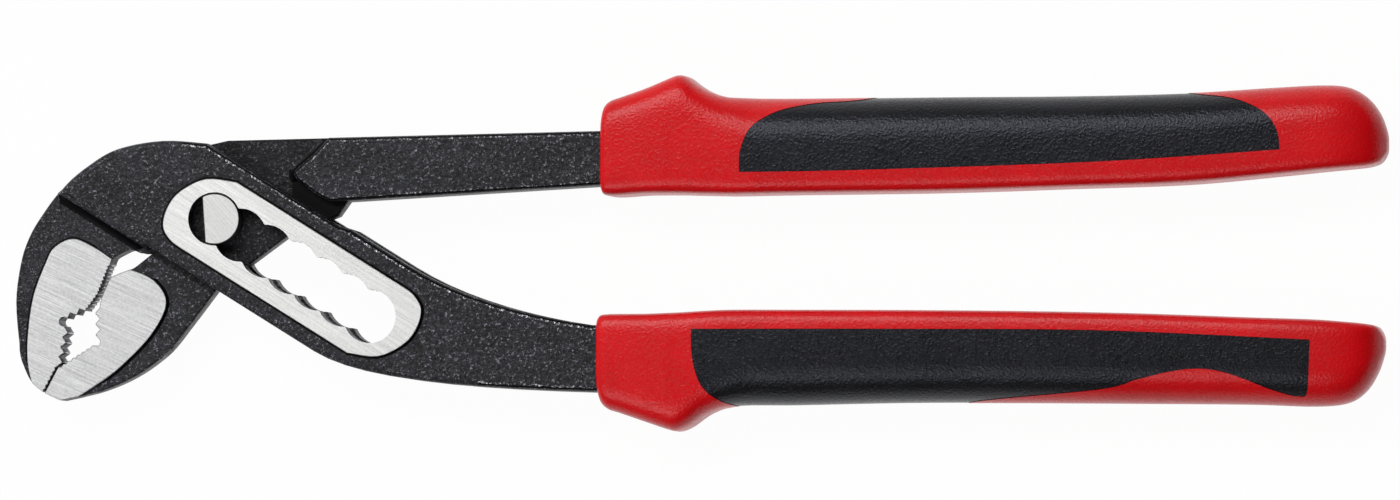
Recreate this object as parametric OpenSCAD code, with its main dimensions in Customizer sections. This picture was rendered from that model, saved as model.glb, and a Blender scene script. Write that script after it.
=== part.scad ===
/* [Adjusting joint] */
// Angle of the adjusting slot below the line of the handles, in degrees
slot_angle = 31.6; // [29:0.2:34]
// Number of notches along the slot
notch_count = 7; // [6:1:7]
// Distance from one notch to the next
notch_pitch = 5.6; // [5.3:0.05:5.8]
// Diameter of the pivot pin
pin_diameter = 9.2; // [8.8:0.1:9.6]
// Gap all round between the pin and a notch
notch_clearance = 0.22; // [0.1:0.02:0.4]
// Width of the necks between the notches
neck_width = 8; // [7.4:0.1:8.4]
// Distance of the flat on the pin from the pin's axis
pin_flat_offset = 2; // [1.6:0.1:2.4]
// Turn of that flat from square to the handles, in degrees
pin_flat_turn = 4; // [0:1:10]
// Diameter of the bore in the back end of the pin
pin_bore_diameter = 3.2; // [2.6:0.1:3.8]
// Depth of that bore
pin_bore_depth = 8; // [6:0.5:9]
// Length of the plug in the pin's bore
plug_length = 6; // [4:0.5:7]

/* [Head] */
// Distance from the pin to the back of the hook
hook_reach = 37.3; // [35:0.1:40]
// Distance from the pin down to the tip of the hook
jaw_drop = 31.4; // [30:0.1:33]
// Distance from the pin up to the crown of the hook
crown_rise = 14.2; // [13.8:0.1:15]
// Width of the box across its two edges
band_width = 21.6; // [20.8:0.1:22.4]
// Thickness of the box over its ground pads
box_thickness = 12; // [11.4:0.1:13]
// Thickness of the slotted arm beside the pads
arm_thickness = 10.8; // [10:0.1:11.2]
// Width of the gap between the two cheeks of the box
window_gap = 4.6; // [4.2:0.1:5]
// Thickness of the jaws over their ground pads
jaw_thickness = 5.8; // [5.4:0.1:6.4]
// Thickness of the hook's rim beside its pad
hook_rim_thickness = 4.8; // [4.4:0.1:5.2]
// Width of the ground pad round the slot
pad_width = 15.5; // [14.8:0.1:16]
// Radius of the through arm's round end inside the box
plate_radius = 13.6; // [13.2:0.1:14]
// Height of the through arm's top edge above the pin
plate_rise = 14.3; // [14:0.1:15]

/* [Handles] */
// Distance from the pin to the mouth of the upper grip
upper_mouth = 69.6; // [66:0.2:74]
// Distance from the pin to the mouth of the lower grip
lower_mouth = 69.2; // [65:0.2:72]
// Height of the upper tang's top edge above the pin at the grip
upper_tang_rise = 15.9; // [15.2:0.1:16.4]
// Height of the upper tang at the grip
upper_tang_height = 9.8; // [9:0.1:10.4]
// Thickness of the upper tang
tang_thickness = 9.2; // [8.4:0.1:10]
// Drop of the lower tang's top edge below the pin at the grip
lower_tang_drop = 19.1; // [18.8:0.1:20]
// Height of the lower tang at the grip
lower_tang_height = 12; // [11.4:0.1:12.4]
// Length of each tang inside its grip
tang_insert = 100; // [80:1:110]
// Height of each tang at its end inside the grip
tang_end_height = 7.5; // [6:0.1:8.5]

/* [Grips] */
// Length of each grip
grip_length = 143; // [136:1:150]
// Height of each grip at its waist
grip_height = 17.4; // [17:0.1:18.2]
// Thickness of each grip
grip_thickness = 16; // [15:0.1:17]
// Height of the upper grip's middle above the pin
upper_grip_rise = 13.4; // [13:0.1:14]
// Drop of the lower grip's middle below the pin
lower_grip_drop = 24.9; // [24.4:0.1:25.4]
// Depth of the soft inlay in the grip
inlay_depth = 1.2; // [0.8:0.1:1.6]

/* [Hidden] */
$fn = 96;

// Length by which every cut runs past the face that it opens
overrun = 1;
// Running gap on each side of the through arm between the cheeks
plate_clearance = 0.1;
// Gap between the pin and its seat in the through arm
pin_seat_clearance = 0.02;
// Running gap all round between the plug and its bore
plug_clearance = 0.03;
// Gap between a tang and its socket in the grip
socket_clearance = 0.05;
// Gap between the two jaws where they meet when closed
jaw_gap = 0.2;
// Room round the through arm's end inside the box
window_room = 2;
// Length of the gap between the cheeks past the last notch
window_tail = 19.2;
// Distance from the pin back to where the crown leaves the straight edge of the box
crown_lead = 8.6;
// Distance from the box's lower edge to the step down to the hook's jaw
jaw_step = 0.5;
// Distance past the last notch at which the box's upper edge bends towards the handle
upper_bend_lead = 1;
// Distance short of the last notch at which the box's lower edge bends towards the handle
lower_bend_lead = 5.6;
// Width by which the arm stands out past the box's upper edge beyond the shoulder's place
shoulder_hump = 0.6;
// Place of the hump's two ends along the slot
hump_start = 20;
hump_end = 22.4;
// Depths of the coarse teeth, the serrations and the fine tip teeth
coarse_tooth = 0.85;
serration = 0.3;
fine_tooth = 0.25;
// Radius of the round notch at the root of the hook's recess
recess_notch = 0.8;
// Numbers of teeth at the hook's tip, on its recess wall, on the recess roof and on the two stretches above
tip_teeth = 6;
wall_teeth = 4;
roof_teeth = 2;
bite_teeth = [5, 8];
// Numbers of teeth on the foot and on the back wall of the lower jaw's recess
foot_teeth = 7;
back_wall_teeth = 3;
// Cut corners at the end of a tang, as a share of the end's height
tang_corner_share = 0.3;

slot_travel = (notch_count - 1) * notch_pitch;
notch_radius = pin_diameter / 2 + notch_clearance;
band_half = band_width / 2;
plate_thickness = window_gap - 2 * plate_clearance;
window_radius = plate_radius + window_room;
plug_seat = (pin_bore_depth - plug_length) / 2;
// Size of the grip's core under the inlay, against the whole grip
inlay_factor = 1 - 2 * inlay_depth / grip_height;

// Curve steps between two points of a smooth outline
curve_steps = 5;
// Curve steps along a bend of a handle
bend_steps = 10;
// Sides of a grip's cross-section and steps between two of its stations
grip_sides = 24;
grip_steps = 2;
// Roundness of a grip's palm side and of its inner side
palm_power = 2.5;
inner_power = 8;

// Back of the hook from the crown to the tip, as shares of the reach and of the rise or drop
hook_back_shares = [
    [-0.262, 1], [-0.481, 0.9], [-0.627, 0.693], [-0.773, 0.4], [-0.881, 0.03], [-0.94, -0.11],
    [-0.978, -0.253], [-1, -0.478], [-0.978, -0.755], [-0.957, -0.845], [-0.917, -0.938]
];
// Corners of the hook's biting edge from the tip up to the throat
hook_tip_share = [-0.855, -1];
recess_foot_share = [-0.788, -0.848];
recess_root_share = [-0.752, -0.622];
recess_notch_share = [-0.757, -0.59];
recess_top_share = [-0.74, -0.576];
bite_start_share = [-0.647, -0.53];
bite_bend_share = [-0.586, -0.432];
bite_end_share = [-0.53, -0.265];
// Throat of the hook beside the lower jaw's neck
throat_shares = [[-0.519, -0.229], [-0.484, -0.202], [-0.428, -0.175], [-0.379, -0.194], [-0.337, -0.192]];
// Outline of the hook's ground pad from the throat round to the tip
hook_pad_shares = [
    [-0.519, -0.229], [-0.608, -0.16], [-0.715, -0.11], [-0.808, -0.16], [-0.852, -0.253],
    [-0.91, -0.438], [-0.936, -0.65], [-0.937, -0.82], [-0.912, -0.95]
];
// Side of the hook's pad that lies past the biting edge
hook_pad_side_shares = [[-0.87, -1.1], [-0.5, -1], [-0.5, -0.3]];
// Corners of the lower jaw's recess
foot_end_share = [-0.619, -0.728];
foot_corner_share = [-0.581, -0.727];
back_wall_start_share = [-0.577, -0.697];
back_wall_end_share = [-0.581, -0.51];
// Heel of the lower jaw up to its neck
heel_shares = [
    [-0.574, -0.461], [-0.554, -0.403], [-0.529, -0.341], [-0.496, -0.317], [-0.425, -0.285], [-0.398, -0.265]
];
// Back of the lower jaw from the box down to the tip
jaw_back_shares = [
    [0, -0.395], [-0.131, -0.6], [-0.239, -0.757], [-0.384, -0.89], [-0.56, -0.985], [-0.773, -1.045]
];
// Outline of the lower jaw's ground pad from the heel round to the tip
jaw_pad_shares = [
    [-0.44, -0.283], [-0.311, -0.352], [-0.25, -0.484], [-0.326, -0.669], [-0.477, -0.853],
    [-0.584, -0.946], [-0.7, -1.034]
];
// Side of the lower jaw's pad that lies past the biting edge
jaw_pad_side_shares = [[-0.85, -1.12], [-0.9, -0.9], [-0.6, -0.25]];
// Half of the pad's outline at one end, as shares of the pad's half width
pad_end_shares = [
    [0, 1], [-0.66, 0.69], [-1.03, 0.14], [-1.1, -0.34], [-0.96, -0.78], [-0.64, -0.97], [-0.3, -1]
];
// Front of the upper tang's shoulder, as shares of the mouth's distance and of the plate's rise
shoulder_shares = [[0.258, 0.836], [0.215, 0.657], [0.205, 0.576], [0.218, 0.479], [0.265, 0.31]];
// Start of the shoulder on the tang's top edge, as a share of the mouth's distance
shoulder_top_share = 0.296;
shoulder_tip_share = [0.3, 0.222];
// Right edge of the plate beside the box, as shares of the mouth's distance and of the plate's rise
plate_edge_shares = [[0.316, 0.045], [0.186, -0.2]];
// Start of the plate's top edge
plate_top_share = [0.025, 1];
// Ends of the plate's round end, in degrees round the pin
plate_round_start = 98;
plate_round_end = 207;
plate_round_step = 6;
// Pulls of the handle curves at their two ends, as shares of the distance between those ends
upper_bend_pull_shares = [0.32, 0.32];
lower_bend_pull_shares = [0.18, 0.5];
tang_bend_pull_shares = [0.2, 0.5];
// Slopes of those curves at the grips, in degrees
upper_bend_slope = 8;
lower_bend_slope = 1.5;
tang_start_slope = -4;
tang_bend_slope = -3.5;

// Stations of the grips as shares: place along the length, palm side and inner side of the height, thickness
upper_grip_shares = [
    [0.008, 0.33, -0.47, 0.84], [0.011, 0.41, -0.515, 0.91], [0.0185, 0.463, -0.528, 0.95],
    [0.033, 0.505, -0.526, 0.96], [0.061, 0.585, -0.51, 0.98], [0.086, 0.67, -0.507, 1],
    [0.096, 0.705, -0.507, 1], [0.104, 0.724, -0.507, 1], [0.111, 0.717, -0.508, 1],
    [0.1175, 0.69, -0.51, 1], [0.128, 0.625, -0.512, 1], [0.142, 0.558, -0.514, 1],
    [0.16, 0.508, -0.517, 1], [0.18, 0.492, -0.518, 1],
    [0.25, 0.484, -0.507, 1], [0.44, 0.5, -0.486, 1], [0.6, 0.508, -0.445, 1],
    [0.746, 0.535, -0.403, 1], [0.86, 0.59, -0.32, 0.99], [0.92, 0.612, -0.27, 0.96],
    [0.952, 0.585, -0.246, 0.89], [0.975, 0.475, -0.225, 0.76], [0.99, 0.317, -0.184, 0.55],
    [0.998, 0.15, -0.1, 0.3], [1, 0.06, -0.03, 0.12]
];
lower_grip_shares = [
    [0.007, 0.37, -0.4, 0.84], [0.011, 0.475, -0.437, 0.91], [0.0195, 0.54, -0.447, 0.95],
    [0.034, 0.578, -0.45, 0.96], [0.068, 0.672, -0.452, 0.98], [0.095, 0.745, -0.461, 1],
    [0.107, 0.759, -0.465, 1], [0.122, 0.71, -0.472, 1], [0.148, 0.57, -0.485, 1],
    [0.182, 0.5, -0.494, 1], [0.258, 0.492, -0.494, 1], [0.4, 0.466, -0.492, 1],
    [0.55, 0.462, -0.482, 1], [0.69, 0.467, -0.46, 1], [0.83, 0.474, -0.42, 0.99],
    [0.91, 0.493, -0.4, 0.96], [0.952, 0.46, -0.376, 0.89], [0.975, 0.345, -0.358, 0.76],
    [0.99, 0.16, -0.33, 0.55], [0.998, -0.02, -0.24, 0.3], [1, -0.1, -0.16, 0.12]
];
// Tops of the two guards
upper_guard_share = max([for (station = upper_grip_shares) station[1]]);
lower_guard_share = max([for (station = lower_grip_shares) station[1]]);
// Outlines of the inlays as shares of the grip's length and height: the curved side and the straight side
upper_inlay_shares = [
    [0.1865, -0.292], [0.1875, -0.07], [0.1995, 0.161], [0.2235, 0.305], [0.249, 0.379], [0.2845, 0.431],
    [0.3405, 0.47], [0.4305, 0.62], [0.6705, 0.68], [0.7405, 0.545], [0.8005, 0.483], [0.8315, 0.402],
    [0.8535, 0.287], [0.8661, 0.121], [0.8692, -0.065]
];
upper_inlay_side_shares = [[0.8692, -0.065], [0.6425, -0.187], [0.3375, -0.272], [0.1865, -0.292]];
lower_inlay_shares = [
    [0.129, -0.29], [0.13, -0.046], [0.1347, 0.153], [0.144, 0.316], [0.1616, 0.44], [0.186, 0.51],
    [0.246, 0.62], [0.386, 0.6], [0.476, 0.46], [0.644, 0.33], [0.692, 0.23], [0.736, 0.144],
    [0.77, 0.115], [0.798, 0.1425], [0.8275, 0.218], [0.862, 0.33], [0.894, 0.395], [0.907, 0.33],
    [0.9105, -0.185]
];
lower_inlay_side_shares = [[0.9105, -0.185], [0.644, -0.279], [0.386, -0.292], [0.129, -0.29]];

// Middle of the whole tool, seen from the pin
middle_x = (upper_mouth + grip_length - hook_reach) / 2;
top_y = upper_grip_rise + upper_guard_share * grip_height;
bottom_y = -lower_grip_drop - lower_guard_share * grip_height;

// Point along the slot and across it, seen from the pin
function in_slot(along, across) = [
    along * cos(slot_angle) + across * sin(slot_angle),
    across * cos(slot_angle) - along * sin(slot_angle)
];
// Point of the head from its shares
function head_point(share) = [share.x * hook_reach, share.y * (share.y > 0 ? crown_rise : jaw_drop)];
function head_points(shares) = [for (share = shares) head_point(share)];
// Point beside the plate from its shares
function plate_point(share) = [share.x * upper_mouth, share.y * plate_rise];
// Point of a smooth curve between b and c
function curve_point(a, b, c, d, f) =
    b + (c - a) * f / 2 + (2 * a - 5 * b + 4 * c - d) * f * f / 2 + (3 * b - a - 3 * c + d) * f * f * f / 2;
// Smooth curve through a list of points
function smooth(points, steps) = let (last = len(points) - 1) concat(
    [for (i = [0 : last - 1], j = [0 : steps - 1])
        curve_point(points[max(i - 1, 0)], points[i], points[i + 1], points[min(i + 2, last)], j / steps)],
    [points[last]]
);
// Curve from a to b that leaves and arrives at the given slopes below the handles' line
function bend(a, b, slope_a, slope_b, pulls) = let (
    reach = norm(b - a),
    c = a + reach * pulls[0] * [cos(slope_a), -sin(slope_a)],
    d = b - reach * pulls[1] * [cos(slope_b), -sin(slope_b)]
) [for (i = [0 : bend_steps]) let (f = i / bend_steps)
    pow(1 - f, 3) * a + 3 * pow(1 - f, 2) * f * c + 3 * (1 - f) * f * f * d + pow(f, 3) * b];
// Row of pointed teeth from a towards b, standing to the left of that line
function teeth(a, b, count, height) = let (
    run = (b - a) / count,
    left = height * [-run.y, run.x] / norm(run)
) [for (i = [0 : count - 1], side = [0, 1]) a + run * (i + side / 2) + left * side];
// End of a tang inside its grip, with its corners cut, grown by the given gap
function tang_end(mouth, middle, gap) = let (
    x = mouth + tang_insert + gap,
    half = tang_end_height / 2 + gap,
    corner = tang_end_height * tang_corner_share
) [
    [x - corner, middle - half], [x, middle - half + corner],
    [x, middle + half - corner], [x - corner, middle + half]
];
// Socket for a tang, open at the grip's mouth
function tang_socket(mouth, top, height, middle) = concat(
    [[mouth - overrun, top - height - socket_clearance]],
    tang_end(mouth, middle, socket_clearance),
    [[mouth - overrun, top + socket_clearance]]
);
// Corner points of the two tangs at their grips
function upper_tang_top() = [upper_mouth, upper_tang_rise];
function upper_tang_foot() = [upper_mouth, upper_tang_rise - upper_tang_height];
function lower_tang_top() = [lower_mouth, -lower_tang_drop];
function lower_tang_foot() = [lower_mouth, -lower_tang_drop - lower_tang_height];
function reversed(points) = [for (i = [len(points) - 1 : -1 : 0]) points[i]];

// Biting edge of the hook from its tip to its throat
function hook_bite() = concat(
    teeth(head_point(hook_tip_share), head_point(recess_foot_share), tip_teeth, fine_tooth),
    teeth(head_point(recess_foot_share), head_point(recess_root_share), wall_teeth, -coarse_tooth),
    [head_point(recess_root_share)],
    teeth(head_point(recess_top_share), head_point(bite_start_share), roof_teeth, coarse_tooth),
    teeth(head_point(bite_start_share), head_point(bite_bend_share), bite_teeth[0], serration),
    teeth(head_point(bite_bend_share), head_point(bite_end_share), bite_teeth[1], serration)
);
// Outline of the slotted arm, from the box's upper edge round the hook and along the handle
function slotted_outline() = let (
    crown = in_slot(-crown_lead, band_half),
    bend_top = in_slot(slot_travel + upper_bend_lead, band_half + shoulder_hump),
    bend_foot = in_slot(slot_travel - lower_bend_lead, -band_half)
) concat(
    smooth(concat([crown], head_points(hook_back_shares), [head_point(hook_tip_share)]), curve_steps),
    hook_bite(),
    smooth(concat([head_point(bite_end_share)], head_points(throat_shares)), curve_steps),
    [in_slot(-crown_lead + jaw_step, -band_half)],
    bend(bend_foot, lower_tang_foot(), slot_angle, lower_bend_slope, lower_bend_pull_shares),
    tang_end(lower_mouth, -lower_grip_drop, 0),
    reversed(bend(bend_top, lower_tang_top(), slot_angle, upper_bend_slope, upper_bend_pull_shares)),
    [in_slot(hump_end, band_half + shoulder_hump), in_slot(hump_start, band_half)]
);
// Outline of the through arm's plate with the lower jaw
function plate_outline() = let (
    gap = jaw_gap * [cos(slot_angle), -sin(slot_angle)],
    tip = head_point(hook_tip_share) + gap,
    foot = head_point(recess_foot_share) + gap
) concat(
    [tip],
    teeth(foot, head_point(foot_end_share), foot_teeth, -serration),
    head_points([foot_end_share, foot_corner_share]),
    teeth(head_point(back_wall_start_share), head_point(back_wall_end_share), back_wall_teeth, coarse_tooth),
    smooth(concat([head_point(back_wall_end_share)], head_points(heel_shares)), curve_steps),
    [for (a = [plate_round_end : -plate_round_step : plate_round_start]) plate_radius * [cos(a), sin(a)]],
    [plate_point(plate_top_share), shoulder_top(), upper_tang_top()],
    [for (i = [bend_steps : -1 : 1]) tang_underside()[i]],
    [for (share = plate_edge_shares) plate_point(share)],
    smooth(head_points(jaw_back_shares), curve_steps)
);
// Underside of the upper tang from its shoulder to the grip
function tang_underside() = bend(
    plate_point(shoulder_tip_share), upper_tang_foot(),
    tang_start_slope, tang_bend_slope, tang_bend_pull_shares
);
// Start of the shoulder on the plate's top edge
function shoulder_top() = let (
    start = plate_point(plate_top_share),
    along = (shoulder_top_share * upper_mouth - start.x) / (upper_mouth - start.x)
) start + along * (upper_tang_top() - start);
// Outline of the thick upper tang behind its shoulder
function tang_outline() = concat(
    smooth(concat([shoulder_top()], [for (share = shoulder_shares) plate_point(share)]), curve_steps),
    tang_underside(),
    tang_end(upper_mouth, upper_grip_rise, 0),
    [upper_tang_top()]
);

// Puts a piece drawn round the pin into the tool's own place, lying on its back
module in_place() {
    translate([-middle_x, -(top_y + bottom_y) / 2, grip_thickness / 2])
        children();
}
// Flat piece of an outline, centred on the tool's middle plane
module slab(outline, thickness) {
    linear_extrude(height = thickness, center = true)
        polygon(outline);
}
// Notched slot through the whole box
module notched_slot() {
    rotate([0, 0, -slot_angle]) {
        for (i = [0 : notch_count - 1])
            translate([i * notch_pitch, 0, 0])
                cylinder(r = notch_radius, h = box_thickness + 2 * overrun, center = true);
        translate([0, -neck_width / 2, -box_thickness / 2 - overrun])
            cube([slot_travel, neck_width, box_thickness + 2 * overrun]);
    }
}
// Outline of the ground pad round the slot
function pad_outline() = let (
    half = pad_width / 2,
    one_end = smooth([for (share = pad_end_shares) share * half], curve_steps),
    other_end = [for (p = one_end) [slot_travel - p.x, -p.y]]
) concat(one_end, other_end);
// Gap between the cheeks, in which the through arm slides and turns
module window() {
    cylinder(r = window_radius, h = window_gap, center = true);
    rotate([0, 0, -slot_angle])
        translate([0, -hook_reach, -window_gap / 2])
            cube([slot_travel + window_tail, 2 * hook_reach, window_gap]);
}
// Ground pad on a jaw, which shares the jaw's biting edge
module jaw_pad(shares, side_shares, outline) {
    intersection() {
        slab(concat(smooth(head_points(shares), curve_steps), head_points(side_shares)), jaw_thickness);
        slab(outline, jaw_thickness);
    }
}
// Space above the line where the box steps down to the hook's jaw
module above_step() {
    room = hook_reach + lower_mouth + tang_insert;
    rotate([0, 0, -slot_angle])
        translate([-room, -band_half - jaw_step, -box_thickness])
            cube([2 * room, room, 2 * box_thickness]);
}

module slotted_arm() {
    color("#2b2b2d")
        in_place()
            difference() {
                union() {
                    intersection() {
                        slab(slotted_outline(), arm_thickness);
                        above_step();
                    }
                    slab(slotted_outline(), hook_rim_thickness);
                    jaw_pad(hook_pad_shares, hook_pad_side_shares, slotted_outline());
                    rotate([0, 0, -slot_angle])
                        slab(pad_outline(), box_thickness);
                }
                notched_slot();
                window();
                translate(head_point(recess_notch_share))
                    cylinder(r = recess_notch, h = box_thickness, center = true);
            }
}

module through_arm() {
    color("#2b2b2d")
        in_place()
            difference() {
                union() {
                    slab(plate_outline(), plate_thickness);
                    slab(tang_outline(), tang_thickness);
                    jaw_pad(jaw_pad_shares, jaw_pad_side_shares, plate_outline());
                }
                pin_body(pin_seat_clearance);
            }
}

// Body of the pin with its flat, grown by the given gap
module pin_body(gap) {
    difference() {
        cylinder(d = pin_diameter + 2 * gap, h = box_thickness, center = true);
        rotate([0, 0, pin_flat_turn])
            translate([-pin_diameter - pin_flat_offset - gap, -pin_diameter, -box_thickness])
                cube([pin_diameter, 2 * pin_diameter, 2 * box_thickness]);
    }
}

module pivot_pin() {
    color("#dcdcda")
        in_place()
            difference() {
                pin_body(0);
                translate([0, 0, -box_thickness / 2 - overrun])
                    cylinder(d = pin_bore_diameter, h = pin_bore_depth + overrun);
            }
}

module pin_plug() {
    color("#b0b0b0")
        in_place()
            translate([0, 0, -box_thickness / 2 + plug_seat])
                cylinder(d = pin_bore_diameter - 2 * plug_clearance, h = plug_length);
}

// One cross-section of a grip whose palm side faces up, shrunk by the given factor
function grip_ring(station, mouth, middle, factor) = let (
    palm = station[1] * grip_height,
    inner = station[2] * grip_height,
    centre = middle + (palm + inner) / 2,
    half_height = factor * (palm - inner) / 2,
    half_thickness = factor * station[3] * grip_thickness / 2
) [for (i = [0 : grip_sides - 1]) let (
    turn = 360 * i / grip_sides,
    across = cos(turn),
    depth = sin(turn),
    power = 2 / (across > 0 ? palm_power : inner_power)
) [
    mouth + station[0] * grip_length,
    centre + half_height * sign(across) * pow(abs(across), power),
    half_thickness * sign(depth) * pow(abs(depth), power)
]];
// Body of a grip between its end faces
module grip_loft(shares, mouth, middle, factor) {
    stations = smooth(shares, grip_steps);
    last = len(stations) - 1;
    points = [for (station = stations) each grip_ring(station, mouth, middle, factor)];
    sides = [for (k = [0 : last - 1], i = [0 : grip_sides - 1]) let (
        a = k * grip_sides + i,
        b = k * grip_sides + (i + 1) % grip_sides
    ) each [[a, b + grip_sides, b], [a, a + grip_sides, b + grip_sides]]];
    ends = [
        [for (i = [0 : grip_sides - 1]) i],
        [for (i = [grip_sides - 1 : -1 : 0]) last * grip_sides + i]
    ];
    polyhedron(points = points, faces = concat(sides, ends), convexity = 6);
}
// Space of a grip's soft inlay: a layer under the grip's skin, inside the inlay's outline
module inlay_space(shares, inlay, inlay_side, mouth, middle) {
    outline = [
        for (share = concat(smooth(inlay, curve_steps), smooth(inlay_side, curve_steps)))
            [mouth + share.x * grip_length, middle + share.y * grip_height]
    ];
    difference() {
        slab(outline, grip_thickness + 2 * overrun);
        grip_loft(shares, mouth, middle, inlay_factor);
    }
}
module upper_inlay_space() {
    inlay_space(upper_grip_shares, upper_inlay_shares, upper_inlay_side_shares, upper_mouth, upper_grip_rise);
}
module lower_inlay_space() {
    inlay_space(lower_grip_shares, lower_inlay_shares, lower_inlay_side_shares, lower_mouth, lower_grip_drop);
}

module upper_grip_body() {
    color("#c8232a")
        in_place()
            difference() {
                grip_loft(upper_grip_shares, upper_mouth, upper_grip_rise, 1);
                upper_inlay_space();
                slab(
                    tang_socket(upper_mouth, upper_tang_rise, upper_tang_height, upper_grip_rise),
                    tang_thickness + 2 * socket_clearance
                );
            }
}

module upper_grip_inlay() {
    color("#26262a")
        in_place()
            intersection() {
                grip_loft(upper_grip_shares, upper_mouth, upper_grip_rise, 1);
                upper_inlay_space();
            }
}

module lower_grip_body() {
    color("#c8232a")
        in_place()
            difference() {
                mirror([0, 1, 0])
                    difference() {
                        grip_loft(lower_grip_shares, lower_mouth, lower_grip_drop, 1);
                        lower_inlay_space();
                    }
                slab(
                    tang_socket(lower_mouth, -lower_tang_drop, lower_tang_height, -lower_grip_drop),
                    arm_thickness + 2 * socket_clearance
                );
            }
}

module lower_grip_inlay() {
    color("#26262a")
        in_place()
            mirror([0, 1, 0])
                intersection() {
                    grip_loft(lower_grip_shares, lower_mouth, lower_grip_drop, 1);
                    lower_inlay_space();
                }
}

slotted_arm();
through_arm();
pivot_pin();
pin_plug();
upper_grip_body();
upper_grip_inlay();
lower_grip_body();
lower_grip_inlay();
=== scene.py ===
"""Slip joint pliers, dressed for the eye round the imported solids.

The two forged arms and the pin are worked from copies of their solids, the grips are lofted
again at a finer step, and a small studio lights the tool as it lies on a pale floor.
"""

import logging
import math
from abc import ABC, abstractmethod
from collections import Counter
from dataclasses import dataclass
from enum import Enum, IntEnum
from typing import Callable, Iterable, NamedTuple, Sequence

import bmesh
import bpy
from bmesh.types import BMEdge, BMesh, BMVert
from bpy.types import Material, Node, NodeSocket, NodeTree, Object
from mathutils import Matrix, Vector


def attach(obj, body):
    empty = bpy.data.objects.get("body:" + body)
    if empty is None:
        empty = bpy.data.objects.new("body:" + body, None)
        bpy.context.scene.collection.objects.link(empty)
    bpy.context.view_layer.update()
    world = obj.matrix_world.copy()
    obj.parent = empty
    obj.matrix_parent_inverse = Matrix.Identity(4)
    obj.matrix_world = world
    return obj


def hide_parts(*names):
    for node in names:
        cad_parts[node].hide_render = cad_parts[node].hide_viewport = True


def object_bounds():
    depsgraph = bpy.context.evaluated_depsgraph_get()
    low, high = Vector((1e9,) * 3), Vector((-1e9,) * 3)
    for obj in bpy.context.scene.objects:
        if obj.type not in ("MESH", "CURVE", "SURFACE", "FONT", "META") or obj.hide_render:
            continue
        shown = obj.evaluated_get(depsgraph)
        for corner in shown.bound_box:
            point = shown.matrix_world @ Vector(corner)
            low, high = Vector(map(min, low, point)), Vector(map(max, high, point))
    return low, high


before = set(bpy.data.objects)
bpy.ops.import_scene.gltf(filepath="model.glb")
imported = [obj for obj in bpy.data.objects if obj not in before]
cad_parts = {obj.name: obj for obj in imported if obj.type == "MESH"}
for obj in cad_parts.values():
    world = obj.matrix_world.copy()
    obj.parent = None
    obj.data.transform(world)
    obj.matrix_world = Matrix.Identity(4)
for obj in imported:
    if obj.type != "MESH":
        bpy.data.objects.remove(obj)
CAD_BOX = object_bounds()

LOG = logging.getLogger("pliers")

# One millimetre in the frame's metres
MM = 0.001
# Height of the tool's middle plane above the floor
MIDDLE = 8.0
# Pin's axis, in millimetres
PIN = (-87.65, 6.0545)
# Angle of the adjusting slot below the line of the handles, in degrees
SLOT_ANGLE = 31.6
# Distance under which two points of a solid are one, and the slack of a level, in millimetres
WELD = 0.002
LEVEL_SLACK = 0.02
# Upright share of a level face's normal
LEVEL_NORMAL = 0.9999
# Least upright share of the normal on the crest of a rounded edge
CREST_NORMAL = 0.9
# Upright shares of the normal between which the side of a rounded edge is plain
BAND_NORMALS = (0.4, 0.7)
# Corners of the room that the teeth lie in, in millimetres
BITE_BOX = ((-122.5, -27.0), (-103.5, 0.5))
# Share of a tooth flank's normal along an axis, past which it faces that way
FLANK_NORMAL = 0.25
# Largest turn between two faces that are one plane, and least turn of a sharp edge, in degrees
FLAT_TURN = 0.4
SHARP_TURN = 35.0
# Turns of the scratches on the jaws and the pin's ends, and of milled and turned marks, in degrees
JAW_GRIND = -24.0
PIN_GRIND = -48.0
MILL_TURN = 90.0


class Body(Enum):
    """Moving bodies of the tool."""

    SLOTTED = "slotted_arm"
    ADJUSTER = "adjuster"
    THROUGH = "through_arm"


class Side(Enum):
    """Which way a grip's palm side faces."""

    UPPER = 1
    LOWER = -1


class Cut(Enum):
    """Which part of an object a cut leaves."""

    OUTSIDE = "DIFFERENCE"
    INSIDE = "INTERSECT"


class Skin(IntEnum):
    """Order of the finishes on a forged arm."""

    FORGED = 0
    GROUND = 1
    RUBBED = 2
    # Near-black finish painted where shade falls: in fillets, grooves and on shaded sides
    PAINTED_SHADE = 3
    JAW = 4
    # Darker skin of the sliding plate, also painted as the box edge's shadow on the jaw's neck
    PLATE_AND_PAINTED_SHADOW = 5
    # Lighter milled finish painted on the tooth flanks that face the light
    PAINTED_LIT_FLANK = 6


def linear(colour: str) -> tuple[float, float, float, float]:
    """Turn an sRGB hex colour into linear light.

    Args:
        colour: Six hex digits after a hash sign.

    Returns:
        Red, green, blue and a full alpha.
    """
    parts = [int(colour[i : i + 2], 16) / 255 for i in (1, 3, 5)]
    light = [p / 12.92 if p <= 0.04045 else ((p + 0.055) / 1.055) ** 2.4 for p in parts]
    return (*light, 1.0)


def per_mm(size: float) -> float:
    """Give the texture scale at which one feature is the given number of millimetres."""
    return 1 / (size * MM)


def add_node(tree: NodeTree, kind: str, inputs: dict | None = None, **settings: object) -> Node:
    """Add a node with its settings, and set or link its inputs.

    Args:
        tree: Tree that takes the node.
        kind: Blender's name for the node.
        inputs: Value or output socket for each named or numbered input.
        settings: Values for the node's own properties.

    Returns:
        The new node.
    """
    node = tree.nodes.new(kind)
    for name, value in settings.items():
        setattr(node, name, value)
    for name, value in (inputs or {}).items():
        if isinstance(value, NodeSocket):
            tree.links.new(value, node.inputs[name])
        else:
            node.inputs[name].default_value = value
    return node


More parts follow.
